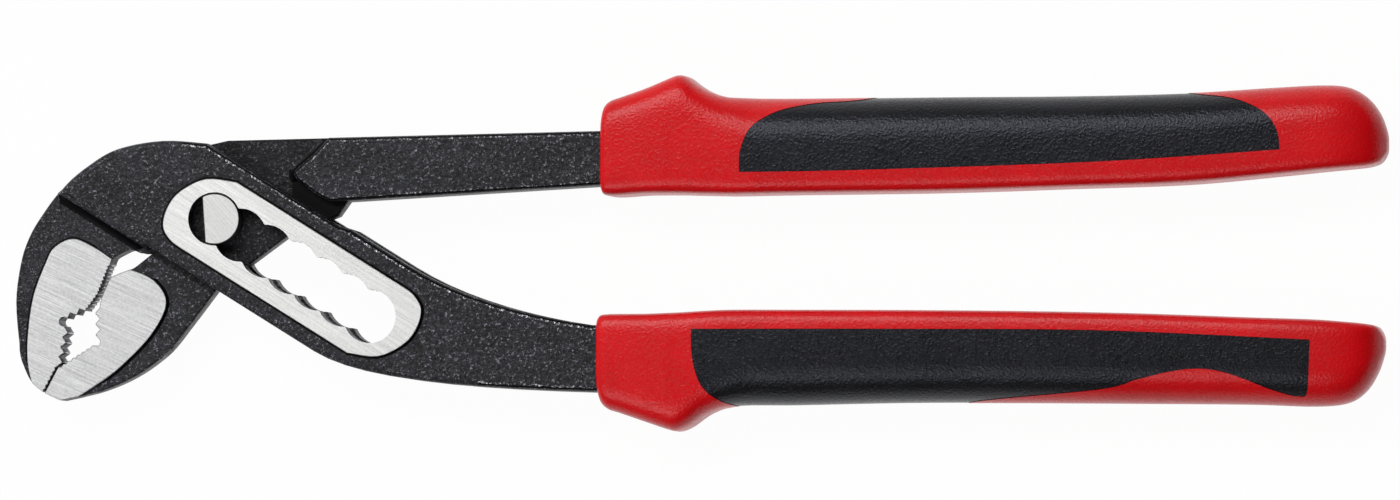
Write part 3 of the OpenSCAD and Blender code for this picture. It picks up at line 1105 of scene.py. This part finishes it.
@dataclass
class Grip:
    """Moulded grip: a red sleeve on the tang with a soft black inlay let into its palm side."""

    side: Side
    body: Body
    mouth: float
    middle: float
    stations: Sequence[tuple[float, float, float, float]]
    inlay_curve: Sequence[tuple[float, float]]
    inlay_edge: Sequence[tuple[float, float]]
    tang_low: float
    tang_high: float
    tang_thickness: float
    length: float = 143.0
    height: float = 17.4
    thickness: float = 16.0
    palm_power: float = 2.5
    guard_power: float = 4.5
    guard_end: float = 0.2
    guard_fade: float = 0.09
    inner_power: float = 8.0
    inlay_depth: float = 1.2
    inlay_sink: float = 0.08
    tang_insert: float = 100.0
    socket_lead: float = 1.0
    tang_end: float = 7.5
    fit_gap: float = 0.05
    sides: int = 96
    steps: int = 7
    outline_steps: int = 8

    def section_point(self, station: Sequence[float], turn: float, depth: float) -> Vector:
        """Place one point of a cross-section.

        Args:
            station: Place, palm side, inner side and thickness as shares.
            turn: Angle round the section from the palm side, in radians.
            depth: Distance under the grip's skin, in millimetres.

        Returns:
            The point in the tool's frame.
        """
        along, palm, inner, thick = station
        palm, inner = palm * self.height, inner * self.height
        across, through = math.cos(turn), math.sin(turn)
        boxy = min(max((self.guard_end - along) / self.guard_fade, 0), 1)
        palm_power = self.palm_power + (self.guard_power - self.palm_power) * boxy
        power = 2 / (palm_power if across > 0 else self.inner_power)
        across, through = (
            math.copysign(abs(share) ** power, share) for share in (across, through)
        )
        shrink = 1 - 2 * depth / self.height
        y = (palm + inner) / 2 + shrink * (palm - inner) / 2 * across
        z = shrink * thick * self.thickness / 2 * through
        point = Vector((
            self.mouth + along * self.length, self.middle + self.side.value * y, MIDDLE + z
        )) * MM
        point.y = min(max(point.y, CAD_BOX[0][1]), CAD_BOX[1][1])
        return point

    def loft(self, depth: float) -> BMesh:
        """Draw the sleeve out ring by ring along its stations.

        Args:
            depth: Distance under the grip's skin, in millimetres.

        Returns:
            Closed mesh of the sleeve.
        """
        bm = bmesh.new()
        turn = bm.verts.layers.float.new("turn")
        rings = smooth_curve(self.stations, self.steps)
        ring = bmesh.ops.create_circle(bm, cap_ends=False, radius=1, segments=self.sides)["verts"]
        for vert in ring:
            vert[turn] = math.atan2(vert.co.y, vert.co.x)
            vert.co = self.section_point(rings[0], vert[turn], depth)
        first = edges = list(bm.edges)
        for station in rings[1:]:
            made = bmesh.ops.extrude_edge_only(bm, edges=edges)["geom"]
            for vert in (part for part in made if isinstance(part, BMVert)):
                vert.co = self.section_point(station, vert[turn], depth)
            edges = [part for part in made if isinstance(part, BMEdge) and part.is_boundary]
        bmesh.ops.edgeloop_fill(bm, edges=first)
        bmesh.ops.edgeloop_fill(bm, edges=edges)
        bmesh.ops.recalc_face_normals(bm, faces=bm.faces)
        return bm

    def inlay_prism(self) -> BMesh:
        """Draw the inlay's outline through the whole thickness.

        Returns:
            Closed mesh of the prism.
        """
        outline = smooth_curve(self.inlay_curve, self.outline_steps)
        outline += smooth_curve(self.inlay_edge, self.outline_steps)[1:-1]
        bm = bmesh.new()
        for along, across in outline:
            bmesh.ops.create_vert(bm, co=Vector((
                self.mouth + along * self.length,
                self.middle + self.side.value * across * self.height,
                MIDDLE - self.thickness,
            )) * MM)
        bm.faces.new(bm.verts)
        raised = bmesh.ops.extrude_face_region(bm, geom=bm.faces[:])["geom"]
        bmesh.ops.translate(
            bm, verts=[part for part in raised if isinstance(part, BMVert)],
            vec=(0, 0, 2 * self.thickness * MM),
        )
        bmesh.ops.recalc_face_normals(bm, faces=bm.faces)
        return bm

    def socket(self) -> BMesh:
        """Draw the room for the tang, open at the grip's mouth.

        Returns:
            Closed mesh of the socket.
        """
        bm = bmesh.new()
        for vert in bmesh.ops.create_cube(bm, size=2)["verts"]:
            at_end, up, front = vert.co.x > 0, vert.co.y > 0, vert.co.z
            x = self.mouth + (self.tang_insert if at_end else -self.socket_lead)
            gap = self.fit_gap if up else -self.fit_gap
            mouth_y = self.tang_high if up else self.tang_low
            end_y = self.middle + (self.tang_end / 2 if up else -self.tang_end / 2)
            z = MIDDLE + front * (self.tang_thickness / 2 + self.fit_gap)
            vert.co = Vector((x, (end_y if at_end else mouth_y) + gap, z)) * MM
        return bm

    def build(self, red: Material, black: Material) -> list[Object]:
        """Mould the sleeve and its inlay.

        Args:
            red: Finish of the sleeve.
            black: Finish of the inlay.

        Returns:
            The sleeve and the inlay.
        """
        room = place_mesh("cut", self.inlay_prism())
        cut(room, place_mesh("cut", self.loft(self.inlay_depth)), Cut.OUTSIDE)
        sleeve = place_mesh("cut", self.loft(0))
        inlay = place_mesh("cut", self.loft(self.inlay_sink))
        cut(inlay, room, Cut.INSIDE, keep_tool=True)
        cut(sleeve, room, Cut.OUTSIDE)
        cut(sleeve, place_mesh("cut", self.socket()), Cut.OUTSIDE)
        name = self.side.name.lower()
        pieces = []
        for made, node, slot, material in (
            (sleeve, f"{name}_grip_body", "red_plastic", red),
            (inlay, f"{name}_grip_inlay", "black_soft", black),
        ):
            bm = bmesh.new()
            bm.from_mesh(made.data)
            bpy.data.objects.remove(made)
            bmesh.ops.remove_doubles(bm, verts=bm.verts, dist=WELD * MM)
            pieces.append(finish_piece(node, bm, self.body, [material], level_flat=False))
        return pieces


# Sections of each grip: place as a share of its length, palm side and inner side as shares of its
# height, and thickness as a share of the whole
UPPER_STATIONS = (
    (0.008, 0.33, -0.47, 0.84), (0.011, 0.41, -0.515, 0.91), (0.0185, 0.463, -0.528, 0.95),
    (0.033, 0.505, -0.526, 0.96), (0.061, 0.585, -0.51, 0.98), (0.086, 0.67, -0.507, 1),
    (0.096, 0.705, -0.507, 1), (0.104, 0.724, -0.507, 1), (0.111, 0.717, -0.508, 1),
    (0.1175, 0.69, -0.51, 1), (0.128, 0.625, -0.512, 1), (0.142, 0.558, -0.514, 1),
    (0.16, 0.508, -0.517, 1), (0.18, 0.492, -0.518, 1),
    (0.25, 0.484, -0.507, 1), (0.44, 0.5, -0.486, 1), (0.6, 0.508, -0.445, 1),
    (0.746, 0.535, -0.403, 1), (0.86, 0.59, -0.32, 0.99), (0.92, 0.612, -0.27, 0.96),
    (0.952, 0.585, -0.246, 0.89), (0.975, 0.475, -0.225, 0.76), (0.99, 0.317, -0.184, 0.55),
    (0.998, 0.15, -0.1, 0.3), (1, 0.06, -0.03, 0.12),
)
LOWER_STATIONS = (
    (0.007, 0.37, -0.4, 0.84), (0.011, 0.475, -0.437, 0.91), (0.0195, 0.54, -0.447, 0.95),
    (0.034, 0.578, -0.45, 0.96), (0.068, 0.672, -0.452, 0.98), (0.095, 0.745, -0.461, 1),
    (0.107, 0.759, -0.465, 1), (0.122, 0.71, -0.472, 1), (0.148, 0.57, -0.485, 1),
    (0.182, 0.5, -0.494, 1), (0.258, 0.492, -0.494, 1), (0.4, 0.466, -0.492, 1),
    (0.55, 0.462, -0.482, 1), (0.69, 0.467, -0.46, 1), (0.83, 0.474, -0.42, 0.99),
    (0.91, 0.493, -0.4, 0.96), (0.952, 0.46, -0.376, 0.89), (0.975, 0.345, -0.358, 0.76),
    (0.99, 0.16, -0.33, 0.55), (0.998, -0.02, -0.24, 0.3), (1, -0.1, -0.16, 0.12),
)
# Outlines of the inlays: a curve over the palm and an edge back along the inner side
UPPER_INLAY = (
    (0.1865, -0.292), (0.1875, -0.07), (0.1995, 0.161), (0.2235, 0.305), (0.249, 0.379),
    (0.2845, 0.431), (0.3405, 0.47), (0.4305, 0.62), (0.6705, 0.68), (0.7405, 0.545),
    (0.8005, 0.483), (0.8315, 0.402), (0.8535, 0.287), (0.8661, 0.121), (0.8692, -0.065),
)
UPPER_INLAY_EDGE = ((0.8692, -0.065), (0.6425, -0.187), (0.3375, -0.272), (0.1865, -0.292))
LOWER_INLAY = (
    (0.129, -0.29), (0.13, -0.046), (0.1347, 0.153), (0.144, 0.316), (0.1616, 0.44), (0.186, 0.51),
    (0.246, 0.62), (0.386, 0.6), (0.476, 0.46), (0.644, 0.33), (0.692, 0.23), (0.736, 0.144),
    (0.77, 0.115), (0.798, 0.1425), (0.8275, 0.218), (0.862, 0.33), (0.894, 0.395), (0.907, 0.33),
    (0.9105, -0.185),
)
LOWER_INLAY_EDGE = ((0.9105, -0.185), (0.644, -0.279), (0.386, -0.292), (0.129, -0.29))


@dataclass
class Studio:
    """Pale floor, two long soft lights beside the tool, and the camera.

    A span holds the two shares of an axis between which the room's light goes from end to end.
    """

    floor_size: float = 8.0
    light_reach: float = 0.52
    light_height: float = 0.95
    light_shift: float = -0.46
    light_length: float = 1.05
    light_width: float = 0.34
    light_power: float = 7.7
    near_share: float = 0.5
    room_colour: str = "#ffffff"
    ambient: float = 0.26
    horizon_white: float = 1.0
    zenith_grey: float = 0.07
    zenith_span: tuple[float, float] = (0.12, 0.5)
    right_grey: float = 0.06
    right_span: tuple[float, float] = (-0.1, 0.7)
    near_grey: float = 0.3
    near_span: tuple[float, float] = (-0.6, 0.3)
    beyond_gain: float = 2.4
    beyond_span: tuple[float, float] = (-0.6, 0.8)
    camera_distance: float = 2.5
    camera_right: float = 9.0
    camera_down: float = 2.0
    field: float = 252.2
    target: tuple[float, float, float] = (0.5, 0.6, 9.0)
    sensor: float = 36.0

    def build(self) -> None:
        """Set up the floor, the light and the camera."""
        self.lay_floor()
        self.hang_lights()
        self.light_world()
        self.aim_camera()
        bpy.context.scene.view_settings.view_transform = "Standard"

    def lay_floor(self) -> None:
        """Lay the floor under the tool."""
        bm = bmesh.new()
        bmesh.ops.create_grid(bm, x_segments=4, y_segments=4, size=self.floor_size / 2)
        floor = place_mesh("floor", bm)
        floor.data.materials.append(PaperFloor().material())

    def hang_lights(self) -> None:
        """Hang a long soft light on each side of the tool."""
        for name, way, share in (("light_beyond", 1, 1.0), ("light_near", -1, self.near_share)):
            light = bpy.data.lights.new(name, "AREA")
            light.shape = "RECTANGLE"
            light.size, light.size_y = self.light_length, self.light_width
            light.energy = self.light_power * share
            lamp = bpy.data.objects.new(name, light)
            lamp.location = (self.light_shift, way * self.light_reach, self.light_height)
            lamp.rotation_euler = (-way * math.atan2(self.light_reach, self.light_height), 0, 0)
            bpy.context.scene.collection.objects.link(lamp)

    def light_world(self) -> None:
        """Light the room evenly, with a white horizon and a greyer ceiling where it is seen."""
        world = bpy.data.worlds.new("white_room")
        world.use_nodes = True
        tree = world.node_tree
        tree.nodes.clear()
        way = add_node(tree, "ShaderNodeTexCoord").outputs["Generated"]
        axes = add_node(tree, "ShaderNodeSeparateXYZ", {"Vector": way}).outputs
        beyond_ends = (self.ambient * self.near_grey, self.ambient * self.beyond_gain)
        white, fall, near, beyond = (
            add_node(
                tree, "ShaderNodeMapRange",
                {"Value": axes[axis], "From Min": span[0], "From Max": span[1],
                 "To Min": ends[0], "To Max": ends[1]},
            ).outputs[0]
            for axis, span, ends in (
                ("Z", self.zenith_span, (self.horizon_white, self.zenith_grey)),
                ("X", self.right_span, (1.0, self.right_grey)),
                ("Y", self.near_span, (self.near_grey, 1.0)),
                ("Y", self.beyond_span, beyond_ends),
            )
        )
        for share in (fall, near):
            white = add_node(
                tree, "ShaderNodeMath", {0: white, 1: share}, operation="MULTIPLY"
            ).outputs[0]
        dim = add_node(
            tree, "ShaderNodeMath", {0: fall, 1: beyond}, operation="MULTIPLY"
        ).outputs[0]
        even, seen = (
            add_node(
                tree, "ShaderNodeBackground",
                {"Color": linear(self.room_colour), "Strength": strength},
            ).outputs[0]
            for strength in (dim, white)
        )
        mixed = add_node(tree, "ShaderNodeMixShader", {0: seen_rays(tree), 1: even, 2: seen})
        add_node(tree, "ShaderNodeOutputWorld", {"Surface": mixed.outputs[0]})
        bpy.context.scene.world = world

    def aim_camera(self) -> None:
        """Aim a long lens at the tool from a little right of and below its middle."""
        camera = bpy.data.cameras.new("camera")
        camera.sensor_width = self.sensor
        camera.lens = self.sensor * self.camera_distance / (self.field * MM)
        right, down = math.radians(self.camera_right), math.radians(self.camera_down)
        back = Vector((
            math.sin(right) * math.cos(down), -math.sin(down), math.cos(right) * math.cos(down)
        ))
        across = Vector((1, 0, 0))
        across = (across - across.dot(back) * back).normalized()
        up = back.cross(across)
        holder = bpy.data.objects.new("camera", camera)
        place = Matrix((across, up, back)).transposed().to_4x4()
        place.translation = Vector(self.target) * MM + back * self.camera_distance
        holder.matrix_world = place
        bpy.context.scene.collection.objects.link(holder)
        bpy.context.scene.camera = holder


def main() -> None:
    """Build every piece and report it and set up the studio."""
    logging.basicConfig(level=logging.INFO, format="%(name)s: %(message)s")
    forged = ForgedSkin().material()
    rubbed = ForgedSkin(name="rubbed_forged_edge", rubbed=0.1125).material()
    scuffed = ForgedSkin(name="scuffed_forged_edge", bare="#a0a0a8", rubbed=0.095).material()
    # Painted shade: a near-black skin for the fillets, grooves and sides where shade falls
    foot = ForgedSkin(
        name="near_black_painted_shade", dark="#040405", light="#0a0a0c", painted_glint="#121214",
        relief_mm=0.03, specular=0.1,
    ).material()
    # Darker skin of the plate, which also paints the box edge's shadow on the jaw's neck
    plate = ForgedSkin(
        name="darker_plate_skin_and_painted_shadow", dark="#040405", light="#1b1b20", painted_glint="#808088",
        relief_mm=0.14, specular=0.22,
    ).material()
    # Painted light: a lighter milled finish on the tooth flanks that face up
    flank = GroundSteel(
        name="tooth_flank_painted_light", dark="#36363e", light="#5e5e68", turn=MILL_TURN, drawn_out=0.0
    ).material()
    ground = GroundSteel().material()
    jaw = GroundSteel(
        name="belt_ground_jaw", dark="#a2a2a4", light="#d6d6d6", turn=JAW_GRIND
    ).material()
    pin_end = GroundSteel(
        name="ground_pin_end", dark="#d4d4d4", light="#fafaf8", turn=PIN_GRIND, drawn_out=0.2
    ).material()
    pin_side = GroundSteel(
        name="turned_pin_steel", dark="#6c6c6e", light="#8e8e90", turn=MILL_TURN, drawn_out=0.0
    ).material()
    red = MouldedGrip(
        name="moulded_red_plastic", dark="#cf0911", light="#e30d17", clouds=Pattern(9.0),
        relief_mm=0.085, smoothest=0.22, roughest=0.36, specular=0.31, sheen="#ffffff",
    ).material()
    black = MouldedGrip(
        name="moulded_soft_black", dark="#080809", light="#18181b", clouds=Pattern(8.0),
        relief_mm=0.12, smoothest=0.22, roughest=0.4, specular=0.36, sheen="#eceeff",
    ).material()

    upper = Grip(
        side=Side.UPPER, body=Body.THROUGH, mouth=-18.05, middle=19.4545, stations=UPPER_STATIONS,
        inlay_curve=UPPER_INLAY, inlay_edge=UPPER_INLAY_EDGE,
        tang_low=12.1545, tang_high=21.9545, tang_thickness=9.2,
    )
    lower = Grip(
        side=Side.LOWER, body=Body.SLOTTED, mouth=-18.45, middle=-18.8455,
        stations=LOWER_STATIONS, inlay_curve=LOWER_INLAY, inlay_edge=LOWER_INLAY_EDGE,
        tang_low=-25.0455, tang_high=-13.0455, tang_thickness=10.8,
    )
    pieces = [
        SlottedArm().build((forged, ground, rubbed, foot, jaw, plate, flank)),
        ThroughArm().build((forged, ground, scuffed, foot, jaw, plate, flank)),
        *PivotPin().build((pin_side, pin_end)),
        *upper.build(red, black),
        *lower.build(red, black),
    ]
    for piece in pieces:
        finishes = ", ".join(piece.data.materials.keys())
        LOG.info("%s: %d faces in %s", piece.name, len(piece.data.polygons), finishes)
    Studio().build()


if __name__ == "__main__":
    main()
